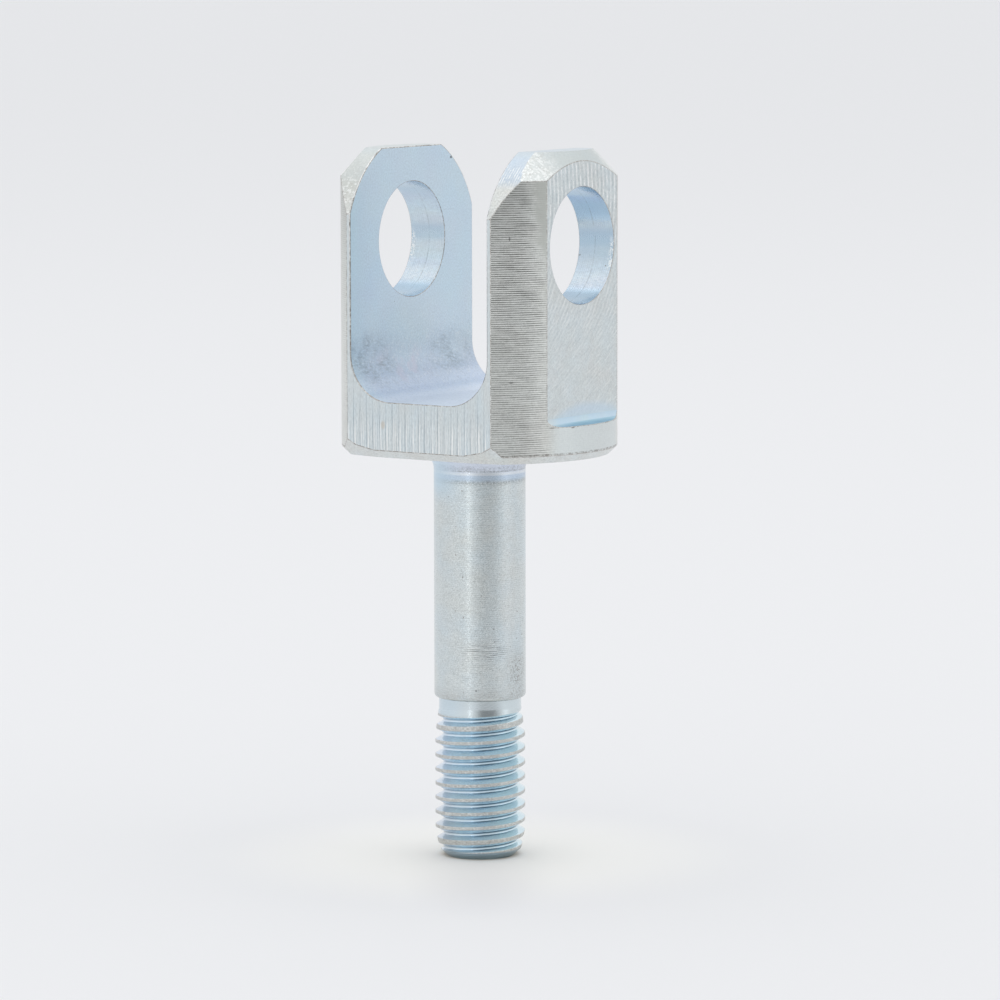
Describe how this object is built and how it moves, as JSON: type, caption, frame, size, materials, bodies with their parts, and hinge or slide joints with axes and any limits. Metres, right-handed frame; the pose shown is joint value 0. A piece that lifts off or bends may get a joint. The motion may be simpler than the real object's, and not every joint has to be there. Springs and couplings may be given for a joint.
{
  "type": "clevis rod end",
  "caption": "One-piece steel clevis rod end: slotted fork head with a cross bore for a pin, plain shank and male threaded end.",
  "frame": {"origin": "centre of the pin bore, midway between the two ears", "axes": "+Z from the threaded end up through the shank to the ear tips, +X along the pin bore, the slot opens towards -Y, +Y and +Z"},
  "size_m": [0.024, 0.0188, 0.0619],
  "materials": {
    "zinc_plated_steel": "bright zinc plating with a pale blue passivation over turned and milled steel"
  },
  "bodies": {
    "root": {"clevis_rod_end": "zinc_plated_steel"}
  },
  "joints": []
}
